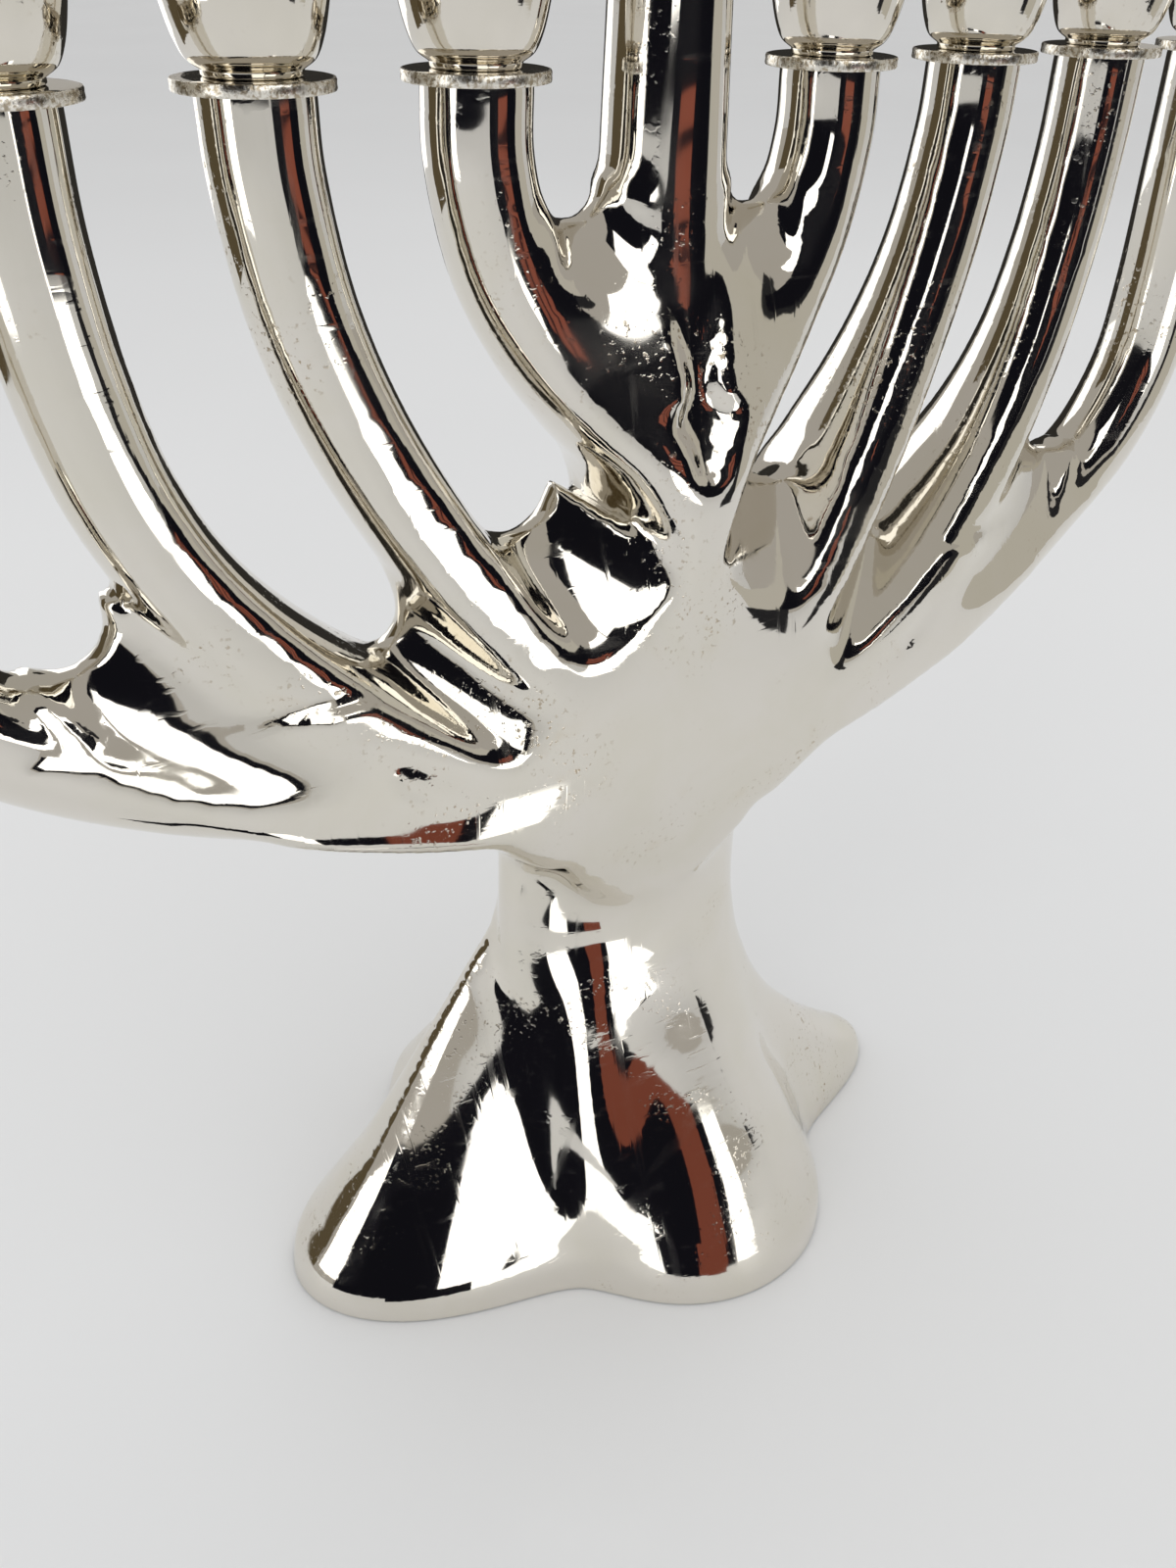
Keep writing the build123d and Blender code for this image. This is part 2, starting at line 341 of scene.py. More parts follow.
def smoothed(points, quads, rounds):
    """Evens out grid ripple without shrinking, by alternate smoothing and unsmoothing."""
    edges = np.vstack([quads[:, [i, (i + 1) % 4]] for i in range(4)])
    degree = np.bincount(edges.ravel(), minlength=len(points))[:, None]
    for step in range(2 * rounds):
        total = np.stack([
            np.bincount(edges[:, 0], points[edges[:, 1], n], len(points))
            + np.bincount(edges[:, 1], points[edges[:, 0], n], len(points)) for n in range(3)
        ], 1)
        points = points + (total / degree - points) * (SMOOTH_IN if step % 2 == 0 else SMOOTH_OUT)
    return points


# ---------------------------------------------------------------- mesh helpers
def new_object(name, bm, smooth=True):
    """Blender object from a bmesh in millimetres."""
    bm.transform(Matrix.Scale(MM, 4))
    mesh = bpy.data.meshes.new(name)
    bm.to_mesh(mesh)
    bm.free()
    for polygon in mesh.polygons:
        polygon.use_smooth = smooth
    obj = bpy.data.objects.new(name, mesh)
    bpy.context.scene.collection.objects.link(obj)
    return obj


def mesh_from(points, faces):
    bm = bmesh.new()
    verts = [bm.verts.new(p) for p in points]
    for face in faces:
        bm.faces.new([verts[i] for i in face])
    return bm


def ring_loops(bm, loops):
    """Joins rings of vertices, each a list of the same length, with quads."""
    for lower, upper in zip(loops, loops[1:]):
        for i in range(len(lower)):
            n = (i + 1) % len(lower)
            bm.faces.new((lower[i], lower[n], upper[n], upper[i]))


def vertex_ring(bm, x, radius, height, segments):
    """Level ring of new vertices about an upright axis at x."""
    turns = [2 * math.pi * i / segments for i in range(segments)]
    return [bm.verts.new((x + radius * math.cos(t), radius * math.sin(t), height)) for t in turns]


def flat_cut(bm, height, keep):
    """Cuts the part of a mesh that keep() picks flat at a height."""
    faces = [f for f in bm.faces if keep(f.calc_center_median())]
    geometry = dict.fromkeys(faces)
    for f in faces:
        geometry.update(dict.fromkeys([*f.edges, *f.verts]))
    bmesh.ops.bisect_plane(
        bm, geom=list(geometry), dist=PLANE_SNAP,
        plane_co=(0, 0, height), plane_no=(0, 0, 1), clear_outer=True
    )


def casting_mesh():
    """The whole casting: its field's surface, cut flat at the foot and at every arm tip."""
    pad = GRID_PAD * GRID_STEP
    low, high = box_mm("tree_casting")
    axes = [np.arange(low[n] - pad, high[n] + pad + GRID_STEP, GRID_STEP) for n in range(3)]
    points, quads = surface_net(casting_field(*axes, GRID_STEP), axes)
    points = smoothed(points, quads, SMOOTH_ROUNDS)
    bm = mesh_from(points, quads)
    lone = [v for v in bm.verts if not v.link_faces]
    bmesh.ops.delete(bm, geom=lone, context="VERTS")

    def side(point):
        return abs(point.x) > SHAFT_SPACE and point.z > PAN_UNDER - TIP_SPACE

    def middle(point):
        return abs(point.x) < SHAFT_SPACE and point.z > SHAFT_PAN_UNDER - TIP_SPACE

    foot_cut = bmesh.ops.bisect_plane(
        bm, geom=bm.verts[:] + bm.edges[:] + bm.faces[:], dist=PLANE_SNAP,
        plane_co=(0, 0, CASTING_FOOT), plane_no=(0, 0, -1), clear_outer=True
    )
    rim = [e for e in foot_cut["geom_cut"] if isinstance(e, bmesh.types.BMEdge)]
    bmesh.ops.triangle_fill(bm, use_beauty=True, edges=rim, normal=(0, 0, -1))
    flat_cut(bm, PAN_UNDER, side)
    flat_cut(bm, SHAFT_PAN_UNDER, middle)
    for number in LIGHTS:
        height = SHAFT_PAN_UNDER if number == MIDDLE else PAN_UNDER
        tip_face(bm, light_x(number), height)
    bmesh.ops.recalc_face_normals(bm, faces=bm.faces)
    return bm


def tip_face(bm, x, height):
    """Flat machined end of an arm, with a threaded hole for the cup's screw."""
    rim = [e for e in bm.edges if e.is_boundary and abs(e.verts[0].co.x - x) < TIP_REACH
           and abs(e.verts[0].co.z - height) < TIP_LEVEL]
    segments, groove, blind_end = 32, 0.25, 1.0
    chamfer_width, chamfer_depth = 0.35, 0.4
    profile = [(HOLE_RADIUS + chamfer_width, 0.0), (HOLE_RADIUS, -chamfer_depth)]
    for turn in range(int((HOLE_DEPTH - blind_end) / THREAD_PITCH)):
        profile += [(HOLE_RADIUS + groove, -THREAD_PITCH - THREAD_PITCH * turn),
                    (HOLE_RADIUS, -1.5 * THREAD_PITCH - THREAD_PITCH * turn)]
    profile.append((HOLE_RADIUS, -HOLE_DEPTH))
    loops = [vertex_ring(bm, x, radius, height + depth, segments) for radius, depth in profile]
    ring_loops(bm, loops)
    bm.faces.new(loops[-1])
    mouth = [bm.edges.get((loops[0][i], loops[0][(i + 1) % segments])) for i in range(segments)]
    bmesh.ops.triangle_fill(bm, use_beauty=True, edges=rim + mouth, normal=(0, 0, 1))


def turned(profile, segments):
    """Solid of revolution about Z from a closed outline of (radius, height) pairs."""
    bm = bmesh.new()
    loops = [vertex_ring(bm, 0.0, radius, height, segments) for radius, height in profile]
    ring_loops(bm, loops + loops[:1])
    bmesh.ops.recalc_face_normals(bm, faces=bm.faces)
    return bm


def through(knots, steps):
    """Points of a smooth curve through (radius, height) knots."""
    return [tuple(point) for point in smooth_chain(np.array(knots, float), steps)]


def arc(centre, radius, start, end, steps):
    """Points of an arc in the (radius, height) plane, angles in degrees."""
    return [(centre[0] + radius * math.cos(a), centre[1] + radius * math.sin(a))
            for a in map(math.radians, np.linspace(start, end, steps))]


# ---------------------------------------------------------------- materials
NOISE_ROUGHNESS = 0.55


class Nodes:
    """Short way to write a material's node tree."""

    def __init__(self, name):
        self.material = bpy.data.materials.new(name)
        self.material.use_nodes = True
        self.tree = self.material.node_tree
        self.shader = self.tree.nodes["Principled BSDF"]

    def add(self, kind, **values):
        node = self.tree.nodes.new(kind)
        for key, value in values.items():
            if hasattr(node, key):
                setattr(node, key, value)
            else:
                node.inputs[key.replace("_", " ")].default_value = value
        return node

    def link(self, source, target):
        self.tree.links.new(source, target)

    def coordinates(self, scale):
        where = self.add("ShaderNodeTexCoord")
        mapping = self.add("ShaderNodeMapping")
        mapping.inputs["Scale"].default_value = scale
        self.link(where.outputs["Object"], mapping.inputs["Vector"])
        return mapping.outputs["Vector"]

    def noise(self, scale, detail, stretch=(1, 1, 1), distortion=0.0):
        node = self.add("ShaderNodeTexNoise", Scale=scale, Detail=detail, Distortion=distortion,
                        Roughness=NOISE_ROUGHNESS)
        self.link(self.coordinates(stretch), node.inputs["Vector"])
        return node.outputs["Fac"]

    def ramp(self, factor, low, high):
        """Black up to the low value, white from the high one on."""
        node = self.add("ShaderNodeValToRGB")
        for element, position, shade in zip(node.color_ramp.elements, (low, high), (0.0, 1.0)):
            element.position = position
            element.color = (shade, shade, shade, 1)
        self.link(factor, node.inputs["Fac"])
        return node.outputs["Color"]

    def mix(self, factor, first, second):
        node = self.add("ShaderNodeMix", data_type="RGBA")
        for name, value in (("Factor", factor), ("A", first), ("B", second)):
            kind = "VALUE" if name == "Factor" else "RGBA"
            target = next(s for s in node.inputs if s.name == name and s.type == kind)
            if hasattr(value, "links"):
                self.link(value, target)
            else:
                target.default_value = value if name == "Factor" else (*value, 1)
        return next(s for s in node.outputs if s.type == "RGBA")

    def math(self, operation, first, second=0.0):
        node = self.add("ShaderNodeMath", operation=operation)
        for i, value in enumerate((first, second)):
            if hasattr(value, "links"):
                self.link(value, node.inputs[i])
            else:
                node.inputs[i].default_value = value
        return node.outputs[0]

    def bump(self, height, strength, distance, after=None):
        node = self.add("ShaderNodeBump", Strength=strength, Distance=distance)
        self.link(height, node.inputs["Height"])
        if after is not None:
            self.link(after, node.inputs["Normal"])
        return node.outputs["Normal"]

    def into(self, source, socket):
        self.link(source, self.shader.inputs[socket])


STAIN_BROWN = (0.36, 0.27, 0.15)
FILM_YELLOW = (0.62, 0.50, 0.32)
CLOUD_SHARE, FILM_SHARE, STAIN_SHARE = 0.35, 0.35, 0.75    # how strongly each one colours the plate
SCRATCH_ROUGH, FILM_ROUGH, STAIN_ROUGH = 0.05, 0.10, 0.3   # what each one adds to the roughness
SCRATCH_STRETCHES = ((1, 0.04, 0.06), (0.05, 1, 0.9), (0.06, 0.5, 0.04))


def nickel(name, tint=(0.80, 0.765, 0.70), gloss=0.045, turned_marks=False, worn=1.0):
    """Polished nickel plate: hairline scratches, fine pits, brown tarnish specks and faint cloudy wear."""
    m = Nodes(name)
    m.shader.inputs["Metallic"].default_value = 1.0
    cloud = m.ramp(m.noise(scale=38, detail=5, distortion=0.6), 0.42, 0.72)
    specks = m.ramp(m.noise(scale=900, detail=2), 0.61, 0.70)
    patches = m.ramp(m.noise(scale=26, detail=3, distortion=1.2), 0.53, 0.68)
    stained = m.math("MULTIPLY", specks, patches)
    film = m.math("MULTIPLY", m.ramp(m.noise(scale=60, detail=6, distortion=1.5), 0.55, 0.8), patches)
    yellowed = (0.9 * tint[0], 0.9 * tint[1], 0.80 * tint[2])
    warm = m.mix(m.math("MULTIPLY", cloud, CLOUD_SHARE), tint, yellowed)
    filmed = m.mix(m.math("MULTIPLY", film, FILM_SHARE * worn), warm, FILM_YELLOW)
    m.into(m.mix(m.math("MULTIPLY", stained, STAIN_SHARE * worn), filmed, STAIN_BROWN), "Base Color")
    scratches = [m.ramp(m.noise(scale=420, detail=2, stretch=stretch), 0.60, 0.66)
                 for stretch in SCRATCH_STRETCHES]
    marks = m.math("MAXIMUM", m.math("MAXIMUM", scratches[0], scratches[1]), scratches[2])
    rough = m.math("ADD", m.math("MULTIPLY", marks, SCRATCH_ROUGH), gloss)
    rough = m.math("ADD", rough, m.math("MULTIPLY", film, FILM_ROUGH * worn))
    rough = m.math("ADD", rough, m.math("MULTIPLY", stained, STAIN_ROUGH))
    m.into(rough, "Roughness")
    normal = m.bump(marks, strength=0.05, distance=0.0001)
    normal = m.bump(m.noise(scale=90, detail=2), strength=0.03, distance=0.0003, after=normal)
    normal = m.bump(stained, strength=0.2, distance=0.00015, after=normal)
    if turned_marks:
        rings = m.noise(scale=1500, detail=1, stretch=(0.2, 0.2, 1.0))
        normal = m.bump(rings, strength=0.12, distance=0.00008, after=normal)
    m.into(normal, "Normal")
    return m.material


def rough_nickel(name):
    """Plate over a coarse punched edge: bright grains and dark pits."""
    m = Nodes(name)
    m.shader.inputs["Metallic"].default_value = 1.0
    grains = m.noise(scale=1400, detail=3)
    pits, bright = (0.42, 0.36, 0.27), (0.84, 0.81, 0.74)
    m.into(m.mix(m.ramp(grains, 0.40, 0.55), pits, bright), "Base Color")
    least_rough, rough_range = 0.08, 0.35
    grit = m.math("MULTIPLY", m.noise(scale=700, detail=3), rough_range)
    m.into(m.math("ADD", grit, least_rough), "Roughness")
    normal = m.bump(grains, strength=0.3, distance=0.0002)
    m.into(m.bump(m.noise(scale=500, detail=2), strength=0.15, distance=0.0004, after=normal), "Normal")
    return m.material


def screw_metal():
    """Plated steel of the screws, a little worn."""
    m = Nodes("plated_screw")
    m.shader.inputs["Metallic"].default_value = 1.0
    wear = m.ramp(m.noise(scale=500, detail=4), 0.35, 0.7)
    dull, bare = (0.50, 0.46, 0.40), (0.72, 0.70, 0.66)
    m.into(m.mix(wear, dull, bare), "Base Color")
    least_rough, rough_range = 0.16, 0.2
    m.into(m.math("ADD", m.math("MULTIPLY", wear, rough_range), least_rough), "Roughness")
    m.into(m.bump(m.noise(scale=1800, detail=2), strength=0.2, distance=0.0001), "Normal")
    return m.material


def felt_cloth():
    """Black felt of the base."""
    m = Nodes("black_felt")
    fuzz = m.noise(scale=1600, detail=5)
    m.into(m.mix(fuzz, (0.012, 0.012, 0.014), (0.05, 0.05, 0.055)), "Base Color")
    m.shader.inputs["Roughness"].default_value = 0.95
    m.shader.inputs["Sheen Weight"].default_value = 0.35
    m.into(m.bump(fuzz, strength=0.8, distance=0.0005), "Normal")
    return m.material


def table_paint():
    """Pale matt table top."""
    m = Nodes("pale_table")
    m.into(m.mix(m.noise(scale=2.5, detail=2), (0.80, 0.80, 0.795), (0.84, 0.84, 0.835)), "Base Color")
    m.shader.inputs["Roughness"].default_value = 0.55
    m.shader.inputs["Specular IOR Level"].default_value = 0.06
    return m.material


# ---------------------------------------------------------------- pieces
PAN_SEED, FELT_SEED = 40, 7
CUP_SEGMENTS, PAN_SEGMENTS, HEAD_SEGMENTS = 96, 144, 64
SHARP, PAN_SHARP, SCREW_SHARP = 50, 35, 40    # degrees from which an edge is drawn sharp


def finish_piece(obj, material, body, node):
    """Gives a piece its material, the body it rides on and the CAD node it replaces."""
    obj.data.materials.append(material)
    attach(obj, body)
    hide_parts(node)


def sharpened(obj, degrees):
    """Piece with its edges above an angle drawn sharp."""
    obj.data.set_sharp_from_angle(angle=math.radians(degrees))
    return obj


def build_casting(material):
    obj = sharpened(new_object("nickel_tree", casting_mesh()), SHARP)
    finish_piece(obj, material, "tree", "tree_casting")


def cup_profile():
    """Outline of a cup: foot, egg-shaped belly, rolled lip, straight socket, bowl and floor."""
    wall = CUP_BELLY - SOCKET_RADIUS
    socket_floor = CUP_HEIGHT - SOCKET_DEPTH
    brim = CUP_BELLY - 0.42                  # where the wall meets the lip
    lip_radius = wall / 2 - 0.02
    outside = through([
        (7.2, 0.9), (9.1, 2.3), (10.35, 4.9), (11.25, 8.2), (CUP_BELLY - 0.3, 11.5), (CUP_BELLY, 16.0),
        (CUP_BELLY - 0.12, 21.0), (brim, CUP_HEIGHT - wall),
    ], steps=5)
    lip = arc((brim - lip_radius + 0.1, CUP_HEIGHT - lip_radius), lip_radius, start=20, end=165, steps=7)
    bowl = through([(SOCKET_RADIUS, socket_floor), (9.8, 7.2), (5.6, CUP_FLOOR)], steps=6)
    hole = [(CLEARANCE_RADIUS + 0.1, CUP_FLOOR), (CLEARANCE_RADIUS, CUP_FLOOR - 0.1)]
    foot = [(CLEARANCE_RADIUS, 0.15), (CLEARANCE_RADIUS + 0.15, 0.0), (6.9, 0.0), (7.2, 0.3)]
    return outside + lip + bowl + hole + foot


def place(bm, x, z):
    bm.transform(Matrix.Translation((x, 0, z)))
    return bm


def build_cup(number, material):
    low, _ = box_mm(f"candle_cup_{number}")
    bm = place(turned(cup_profile(), CUP_SEGMENTS), light_x(number), low[2])
    obj = sharpened(new_object(f"spun_cup_{number}", bm), SHARP)
    finish_piece(obj, material, f"cup_{number}", f"candle_cup_{number}")


def build_pan(number, face, edge):
    """Round drip pan: flat polished faces, a coarse edge with a burr on each side."""
    rng = np.random.default_rng(PAN_SEED + number)
    low, _ = box_mm(f"drip_pan_{number}")
    corner, corner_drop, burrs, waist = 0.12, 0.08, (0.35, 1.45), 0.05
    edge_depth, roughened, ragged, uneven = 0.3, 0.2, 0.012, 0.02
    flat_start, flat_inset, flat_rings = 4, 0.45, 5
    flat_radii = np.linspace(flat_start, PAN_RADIUS - flat_inset, flat_rings)
    profile = [(CLEARANCE_RADIUS, 0.0)] + [(r, 0.0) for r in flat_radii]
    profile += [(PAN_RADIUS - corner, corner_drop), (PAN_RADIUS, burrs[0]),
                (PAN_RADIUS - waist, PAN_THICKNESS / 2), (PAN_RADIUS, burrs[1]),
                (PAN_RADIUS - corner, PAN_THICKNESS - corner_drop)]
    profile += [(r, PAN_THICKNESS) for r in flat_radii[::-1]] + [(CLEARANCE_RADIUS, PAN_THICKNESS)]
    bm = turned(profile, PAN_SEGMENTS)
    for v in bm.verts:
        radius = math.hypot(v.co.x, v.co.y)
        if radius > PAN_RADIUS - roughened:
            v.co.xy *= 1 - abs(rng.normal(0, ragged)) / radius
            v.co.z += rng.normal(0, uneven) if roughened < v.co.z < PAN_THICKNESS - roughened else 0.0
    obj = sharpened(new_object(f"drip_disc_{number}", place(bm, light_x(number), low[2])), PAN_SHARP)
    finish_piece(obj, face, f"pan_{number}", f"drip_pan_{number}")
    obj.data.materials.append(edge)
    centre = Vector((light_x(number), 0, 0)) * MM
    for polygon in obj.data.polygons:
        if (polygon.center - centre).xy.length > (PAN_RADIUS - edge_depth) * MM:
            polygon.material_index = 1


def build_screw(number, material):
    """Slotted pan-head screw with a real helical thread."""
    low, high = box_mm(f"cup_screw_{number}")
    head_radius, head_height, slot_half, slot_depth = 4.4, 2.6, 0.6, 1.3
    head_round, head_chamfer, centre_hole = 1.1, 0.15, 0.02
    shank = high[2] - low[2] - head_height
    core, crest, run_in, tip_share = 2.1, 2.45, 0.8, 0.2
    bm = bmesh.new()
    segments, per_turn = 32, 6
    rows = int(shank / THREAD_PITCH * per_turn)
    loops = []
    for row in range(rows + 1):
        z = -shank + shank * row / rows
        ring = []
        for i in range(segments):
            phase = (z / THREAD_PITCH - i / segments) % 1.0
            depth_share = min(1.0, (z + shank) / run_in + tip_share)
            radius = core + (crest - core) * (1 - abs(2 * phase - 1)) * depth_share
            turn = 2 * math.pi * i / segments
            ring.append(bm.verts.new((radius * math.cos(turn), radius * math.sin(turn), z)))
        loops.append(ring)
    ring_loops(bm, loops)
    bm.faces.new(list(reversed(loops[0])))
    bm.faces.new(loops[-1])
    shoulder = head_height - head_round
    head_profile = [(centre_hole, 0.0), (head_radius - head_chamfer, 0.0), (head_radius, head_chamfer),
                    (head_radius, shoulder)]
    head_profile += arc((head_radius - head_round, shoulder), head_round, start=10, end=90, steps=7)
    head = turned(head_profile + [(centre_hole, head_height)], HEAD_SEGMENTS)
    slot = bmesh.new()
    bmesh.ops.create_cube(slot, size=1.0)
    bmesh.ops.scale(slot, vec=(3 * head_radius, 2 * slot_half, 2 * slot_depth), verts=slot.verts)
    bmesh.ops.translate(slot, vec=(0, 0, head_height), verts=slot.verts)
    head_object = new_object(f"head_{number}", head)
    slot_object = new_object(f"slot_{number}", slot, smooth=False)
    cut = head_object.modifiers.new("slot", "BOOLEAN")
    cut.operation, cut.object, cut.solver = "DIFFERENCE", slot_object, "EXACT"
    depsgraph = bpy.context.evaluated_depsgraph_get()
    cut_mesh = bpy.data.meshes.new_from_object(head_object.evaluated_get(depsgraph))
    cut_mesh.transform(Matrix.Scale(1 / MM, 4))
    bm.from_mesh(cut_mesh)
    for made in (head_object, slot_object):
        bpy.data.objects.remove(made)
    screw = new_object(f"slotted_screw_{number}", place(bm, light_x(number), low[2] + shank))
    obj = sharpened(screw, SCREW_SHARP)
    finish_piece(obj, material, f"screw_{number}", f"cup_screw_{number}")


def build_felt(material):
    """Felt glued under the casting: the CAD sheet's outline with a slightly fuzzy edge."""
    weld, wall_height, fuzz, sway = 1e-6, 0.3, 0.12, 0.05
    node = frame["nodes"]["base_felt"]
    bm = bmesh.new()
    bm.from_mesh(node.data)
    bmesh.ops.remove_doubles(bm, verts=bm.verts, dist=weld)
    bm.transform(Matrix.Scale(1 / MM, 4))
    rng = np.random.default_rng(FELT_SEED)
    low, high = box_mm("base_felt")
    middle = (low[2] + high[2]) / 2
    walls = [e for e in bm.edges if abs(e.verts[0].co.z - e.verts[1].co.z) > wall_height]
    split = bmesh.ops.subdivide_edges(bm, edges=walls, cuts=1)
    inner = {g for g in split["geom_inner"] if isinstance(g, bmesh.types.BMVert)}
    # In order of place, so that every run moves each vertex the same way
    for v in sorted(inner, key=lambda vertex: tuple(vertex.co)):
        outward = v.co.xy.normalized()
        v.co.xy += outward * (fuzz + rng.uniform(0, fuzz))
        v.co.z = middle + rng.uniform(-sway, sway)
    area = sum(f.calc_area() for f in bm.faces if f.normal.z > 0.9) * MM * MM
    obj = new_object("felt_pad", bm)
    finish_piece(obj, material, "tree", "base_felt")


# ---------------------------------------------------------------- camera and studio
CAMERA_AT = Vector((-135.3, -198.4, 291.3)) * MM
CAMERA_YAW, CAMERA_PITCH, CAMERA_ROLL = 31.808, 34.249, -1.227   # degrees: right of +Y, down, clockwise
LENS, SENSOR = 29.25, 36.0
CLIP_NEAR, CLIP_FAR = 0.01, 20.0
TABLE_HALF, TABLE_CELLS = 20.0, 60       # in metres, as are the places of cards and lamps
CARD_COLUMNS = 9
ROOM_COLOUR = (0.76, 0.765, 0.775, 1)    # what lights the scene
# Painted reflection: glossy rays see this darker world colour, all other rays the room colour
MIRROR_COLOUR = (0.42, 0.40, 0.37, 1)    # what the metal reflects beside the cards
# Lamps: name, place, size, power
LAMPS = (("key", (-0.6, -0.2, 1.3), 1.2, 2.6), ("fill", (0.8, 0.4, 1.2), 1.2, 2.0))


def build_camera():
    yaw, pitch, roll = (math.radians(a) for a in (CAMERA_YAW, CAMERA_PITCH, CAMERA_ROLL))
    ahead = Vector((math.sin(yaw) * math.cos(pitch), math.cos(yaw) * math.cos(pitch), -math.sin(pitch)))
    level = Vector((math.cos(yaw), -math.sin(yaw), 0))
    down = ahead.cross(level)
    right = math.cos(roll) * level + math.sin(roll) * down
    up = math.sin(roll) * level - math.cos(roll) * down
    data = bpy.data.cameras.new("camera")
    data.sensor_width, data.lens = SENSOR, LENS
    data.clip_start, data.clip_end = CLIP_NEAR, CLIP_FAR
    camera = bpy.data.objects.new("camera", data)
    bpy.context.scene.collection.objects.link(camera)
    turn = Matrix((right, up, -ahead)).transposed()
    camera.matrix_world = Matrix.Translation(CAMERA_AT) @ turn.to_4x4()
    bpy.context.scene.camera = camera


def around(turn, distance, height):
    """Point at a distance from the tree's axis, turn degrees right of the camera's side."""
    toward = math.atan2(CAMERA_AT.y, CAMERA_AT.x) + math.radians(turn)
    return Vector((distance * math.cos(toward), distance * math.sin(toward), height))


# Cards glow with their colour rather than being lit: what they show in the metal is a painted reflection
def emitter(name, colour, strength):
    material = bpy.data.materials.new(name)
    material.use_nodes = True
    tree = material.node_tree
    tree.nodes.clear()
    glow = tree.nodes.new("ShaderNodeEmission")
    glow.inputs["Color"].default_value = (*colour, 1)
    glow.inputs["Strength"].default_value = strength
    out = tree.nodes.new("ShaderNodeOutputMaterial")
    tree.links.new(glow.outputs[0], out.inputs["Surface"])
    return material


def card(name, start, end, distance, low, high, colour, strength):
    """Curved card round the tree between two turns from the camera's side, seen only in reflections."""
    bm = bmesh.new()
    columns = []
    for turn in np.linspace(start, end, CARD_COLUMNS):
        columns.append([bm.verts.new(around(turn, distance, height)) for height in (low, high)])
    for (a, b), (c, d) in zip(columns, columns[1:]):
        bm.faces.new((a, c, d, b))
    mesh = bpy.data.meshes.new(name)
    bm.to_mesh(mesh)
    bm.free()
    obj = bpy.data.objects.new(name, mesh)
    bpy.context.scene.collection.objects.link(obj)
    obj.data.materials.append(emitter(name + "_paint", colour, strength))
    obj.visible_camera = obj.visible_diffuse = obj.visible_shadow = False


# Glow colours of the cards: painted reflections of a person's coat, shirt and hand, and of windows, walls and
# shade
COAT = (0.006, 0.006, 0.009)
SHIRT = (0.19, 0.055, 0.035)
WHITE = (1.0, 0.995, 0.98)
OLIVE = (0.10, 0.078, 0.045)
DARK = (0.02, 0.02, 0.022)
PALE = (0.50, 0.48, 0.43)
SHADE = (0.03, 0.028, 0.025)
# Distance and top of the two low rings, which the roots reflect
NEAREST, NEAREST_TOP = 0.100, 0.013
NEAR, LOW_TOP = 0.150, 0.048
# Distances of the hand and fingers, which the arm tips reflect, of windows, walls and what is behind
HAND_AWAY, FINGER_AWAY = 0.270, 0.268
WINDOW_AWAY, WALL_AWAY, BACK_AWAY = 0.56, 0.60, 0.75
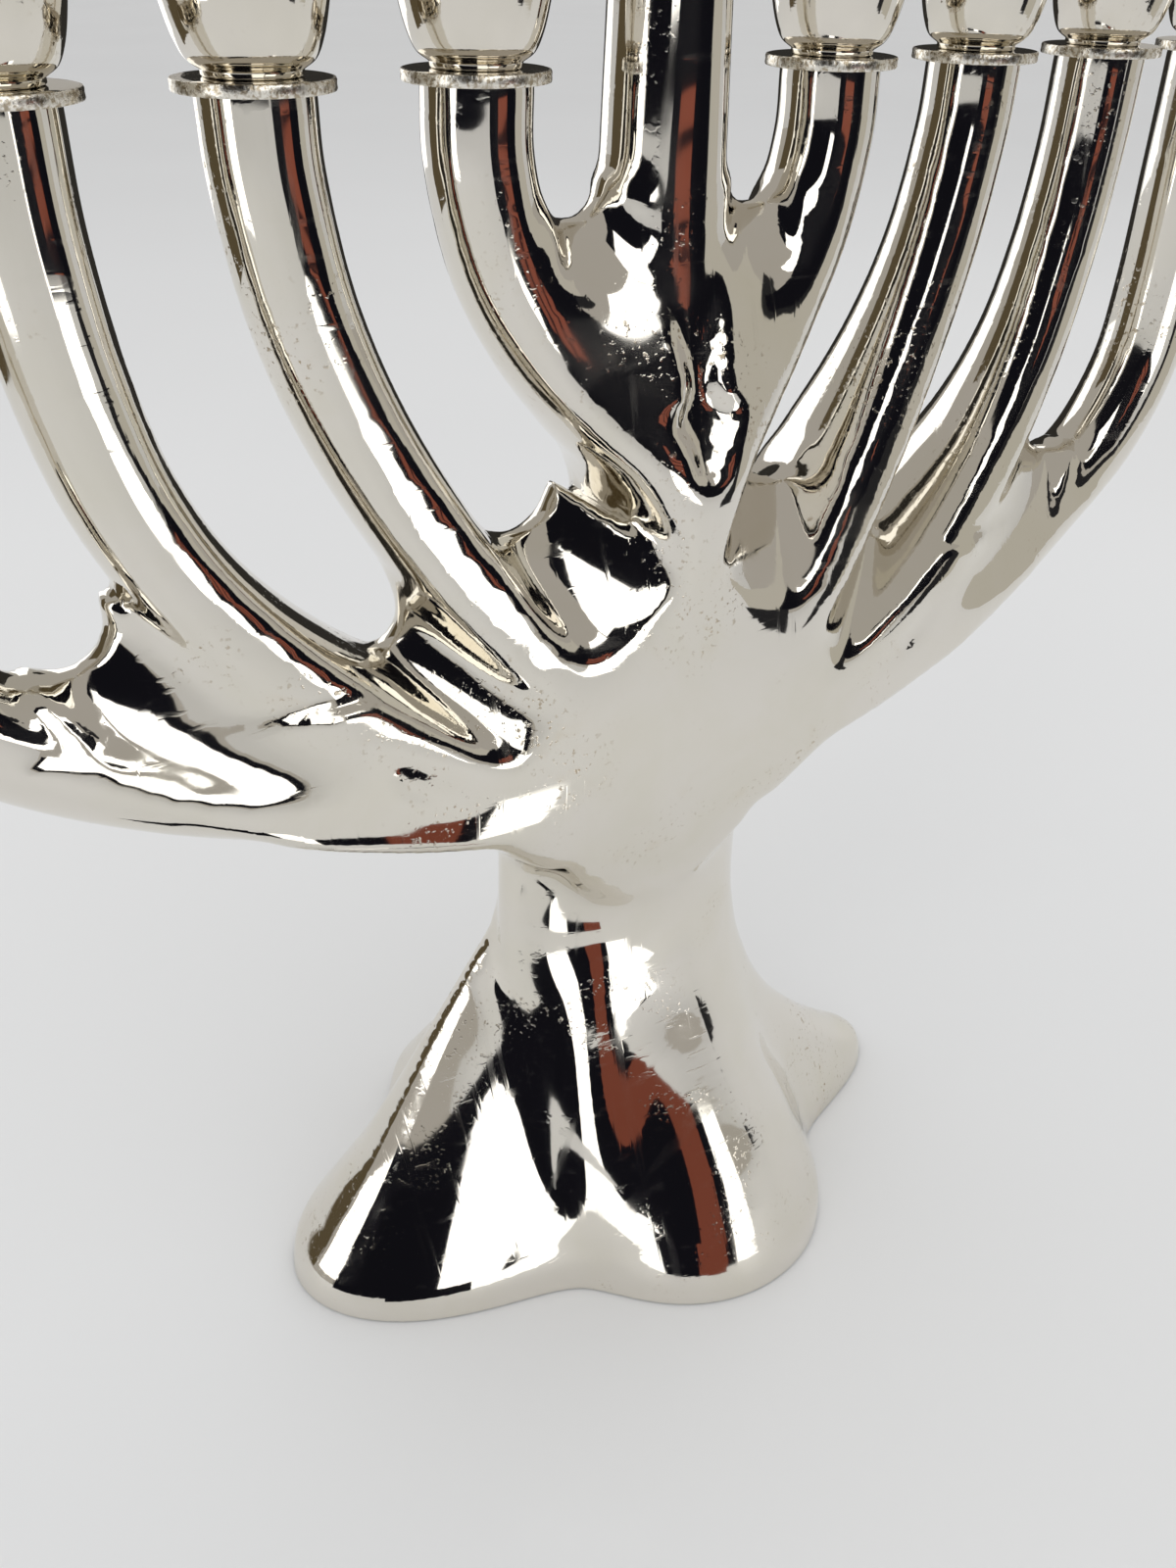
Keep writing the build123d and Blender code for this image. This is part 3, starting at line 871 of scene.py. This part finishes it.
# Cards: name, first and last turn from the camera's side in degrees, distance, lowest and highest edge,
# colour, strength
CARDS = (
    ("near_coat_left", -37, -10, NEAREST, 0.0, NEAREST_TOP, COAT, 1.0),
    ("near_light_left", -10, 7, NEAREST, 0.0, NEAREST_TOP, WHITE, 1.6),
    ("near_coat_right", 7, 21, NEAREST, 0.0, NEAREST_TOP, COAT, 1.0),
    ("near_shirt", 21, 33, NEAREST, 0.0, NEAREST_TOP, SHIRT, 1.0),
    ("low_coat_left", -50, -10, NEAR, 0.0, LOW_TOP, COAT, 1.0),
    ("low_light_left", -10, 7, NEAR, 0.0, LOW_TOP, WHITE, 1.8),
    ("low_coat_middle", 7, 21, NEAR, 0.0, LOW_TOP, COAT, 1.0),
    ("low_shirt", 21, 33, NEAR, 0.0, LOW_TOP, SHIRT, 1.0),
    ("low_coat_right", 33, 38, NEAR, 0.0, LOW_TOP, COAT, 1.0),
    ("low_light_right", 38, 50, NEAR, 0.0, LOW_TOP, WHITE, 1.8),
    ("coat", -35, 35, 0.95, 0.2, 1.3, COAT, 1.0),
    ("high_window", 9, 36, 0.930, 0.275, 1.05, WHITE, 1.8),
    ("hand", 27, 82, HAND_AWAY, 0.196, 0.33, COAT, 1.0),
    ("finger_1", 44, 61, FINGER_AWAY, 0.208, 0.218, SHIRT, 1.2),
    ("finger_2", 42, 62, FINGER_AWAY, 0.222, 0.234, SHIRT, 1.3),
    ("finger_3", 43, 62, FINGER_AWAY, 0.238, 0.250, SHIRT, 1.3),
    ("left_window", -66, -37, WINDOW_AWAY, 0.09, 0.62, WHITE, 2.2),
    ("right_window", 36, 62, WINDOW_AWAY, 0.09, 0.60, WHITE, 2.2),
    ("olive_left", -104, -70, WALL_AWAY, 0.03, 0.55, OLIVE, 1.0),
    ("dark_right", 74, 84, WALL_AWAY, 0.03, 0.55, DARK, 1.0),
    ("pale_right", 84, 104, WALL_AWAY, 0.05, 0.50, PALE, 1.0),
    ("back_dark", 160, 205, BACK_AWAY, 0.05, 0.5, SHADE, 1.0),
    ("back_window_left", 122, 152, BACK_AWAY, 0.1, 0.7, WHITE, 1.6),
    ("back_window_right", 212, 240, BACK_AWAY, 0.1, 0.7, WHITE, 1.6),
)


def build_studio():
    """Table top, cards, world light and lamps."""
    bm = bmesh.new()
    bmesh.ops.create_grid(bm, x_segments=TABLE_CELLS, y_segments=TABLE_CELLS, size=TABLE_HALF / MM)
    floor = new_object("table_top", bm)
    floor.data.materials.append(table_paint())
    for one in CARDS:
        card(*one)

    world = bpy.data.worlds.new("studio")
    bpy.context.scene.world = world
    world.use_nodes = True
    tree = world.node_tree
    tree.nodes.clear()
    path = tree.nodes.new("ShaderNodeLightPath")
    plain, mirrored = (tree.nodes.new("ShaderNodeBackground") for _ in range(2))
    plain.inputs["Color"].default_value = ROOM_COLOUR
    mirrored.inputs["Color"].default_value = MIRROR_COLOUR
    for background in (plain, mirrored):
        background.inputs["Strength"].default_value = 1.0
    choose = tree.nodes.new("ShaderNodeMixShader")
    out = tree.nodes.new("ShaderNodeOutputWorld")
    # Glossy rays get the mirror colour: a painted reflection
    tree.links.new(path.outputs["Is Glossy Ray"], choose.inputs[0])
    tree.links.new(plain.outputs[0], choose.inputs[1])
    tree.links.new(mirrored.outputs[0], choose.inputs[2])
    tree.links.new(choose.outputs[0], out.inputs["Surface"])

    for name, spot, size, power in LAMPS:
        lamp = bpy.data.lights.new(name, "AREA")
        lamp.size, lamp.energy = size, power
        obj = bpy.data.objects.new(name, lamp)
        obj.location = spot
        obj.rotation_euler = (-Vector(spot)).to_track_quat("-Z", "Y").to_euler()
        obj.visible_glossy = False
        bpy.context.scene.collection.objects.link(obj)
    bpy.context.scene.view_settings.view_transform = "Standard"


# ---------------------------------------------------------------- build
build_camera()
build_studio()

polished = nickel("polished_nickel")
spun = nickel("spun_nickel", tint=(0.80, 0.76, 0.69), gloss=0.06, turned_marks=True, worn=0.6)
punched = rough_nickel("punched_edge")
screw_paint = screw_metal()

build_casting(polished)
for light in LIGHTS:
    build_cup(light, spun)
    build_pan(light, spun, punched)
    build_screw(light, screw_paint)
build_felt(felt_cloth())
